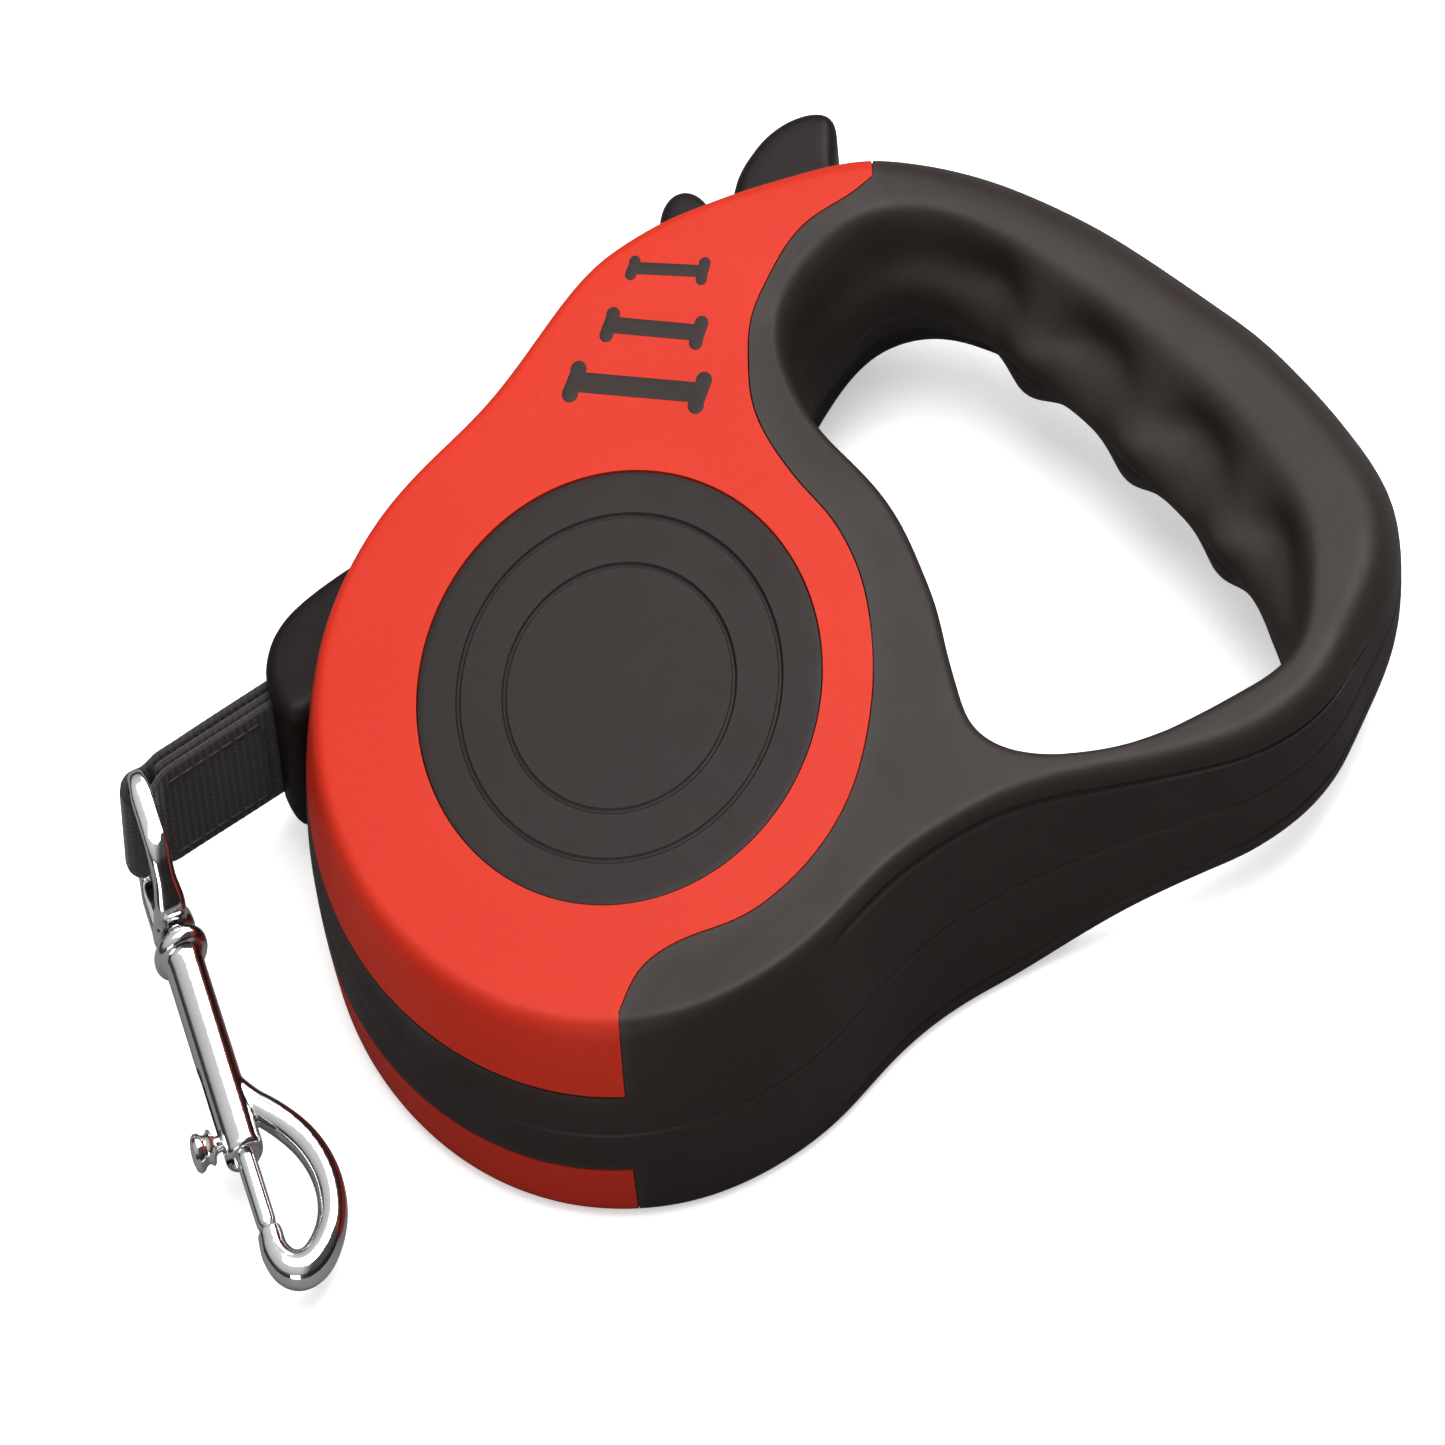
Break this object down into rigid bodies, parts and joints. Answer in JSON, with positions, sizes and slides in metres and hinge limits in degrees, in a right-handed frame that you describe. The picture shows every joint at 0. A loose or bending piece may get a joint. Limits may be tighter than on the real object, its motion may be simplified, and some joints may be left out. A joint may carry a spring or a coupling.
{
  "type": "retractable leash",
  "caption": "Retractable tape leash: teardrop casing with ring handle, spring reel inside, thumb brake lever, lock button, and a strap with a swivelling snap clip.",
  "frame": {"origin": "on the reel axis, in the plane of the rear resting face", "axes": "+Z out of the front face, -X the way the strap leaves the casing, +Y towards the brake lever"},
  "size_m": [0.1919, 0.1174, 0.03],
  "materials": {
    "shell_black": "fine moulded grain, satin on the rounded edges",
    "cover_red": "satin moulded red plastic",
    "medallion_black": "fine grain with engraved rings",
    "inlay_black": "fine grain",
    "nozzle_black": "satin",
    "button_black": "soft-touch satin",
    "reel_plastic": "natural acetal",
    "axle_plastic": "acetal",
    "steel_zinc": "zinc plated",
    "spring_steel": "blued spring steel",
    "clip_chrome": "bright chrome plate",
    "strap_webbing": "woven nylon tape"
  },
  "bodies": {
    "casing": {"front_shell": "shell_black", "rear_shell": "shell_black", "front_cover": "cover_red", "rear_cover": "cover_red", "front_medallion": "medallion_black", "rear_medallion": "medallion_black", "front_bone_inlays": "inlay_black", "rear_bone_inlays": "inlay_black", "casing_screws": "steel_zinc", "centre_axle": "axle_plastic", "axle_screw": "steel_zinc", "strap_nozzle": "nozzle_black", "guide_pin": "steel_zinc", "brake_pivot_pin": "steel_zinc", "brake_spring": "spring_steel"},
    "reel": {"reel": "reel_plastic", "reel_cover": "reel_plastic", "reel_cover_screws": "steel_zinc", "mainspring": "spring_steel", "wound_strap": "strap_webbing"},
    "strap_run": {"strap": "strap_webbing"},
    "clip_eye": {"swivel_eye": "clip_chrome"},
    "clip_snap": {"snap_body": "clip_chrome", "bolt_spring": "spring_steel"},
    "clip_bolt": {"snap_bolt": "clip_chrome", "bolt_knob": "clip_chrome"},
    "brake": {"brake_lever": "button_black"},
    "lock": {"lock_button": "button_black"}
  },
  "joints": [
    {"name": "reel_spin", "type": "hinge", "parent": "casing", "child": "reel", "pos_m": [0, 0, 0.015], "axis": [0, 0, 1], "range_deg": [0, 60], "deforming": ["mainspring"]},
    {"name": "strap_slide", "type": "slide", "parent": "casing", "child": "strap_run", "axis": [-1, 0, 0], "range_m": [0, 0.036]},
    {"name": "clip_pivot", "type": "hinge", "parent": "strap_run", "child": "clip_eye", "pos_m": [-0.065, 0.0337, 0.015], "axis": [-0.0218, -0.1549, 0.9877], "range_deg": [-165, 8]},
    {"name": "clip_swivel", "type": "hinge", "parent": "clip_eye", "child": "clip_snap", "pos_m": [-0.06692, 0.02001, 0.01281], "axis": [-0.1375, -0.9781, -0.1564], "continuous": true},
    {"name": "bolt_slide", "type": "slide", "parent": "clip_snap", "child": "clip_bolt", "axis": [0.1375, 0.9781, 0.1564], "range_m": [0, 0.008], "stiffness_N_per_m": 150, "deforming": ["bolt_spring"]},
    {"name": "brake_press", "type": "hinge", "parent": "casing", "child": "brake", "pos_m": [0.026, 0.0475, 0.015], "axis": [0, 0, -1], "range_deg": [0, 8], "stiffness_Nm_per_rad": 1.5, "deforming": ["brake_spring"]},
    {"name": "lock_press", "type": "slide", "parent": "casing", "child": "lock", "axis": [0, -1, 0], "range_m": [0, 0.003]}
  ],
  "couplings": [
    {"joint": "strap_slide", "follows": "reel_spin", "m_per_rad": 0.0334}
  ]
}
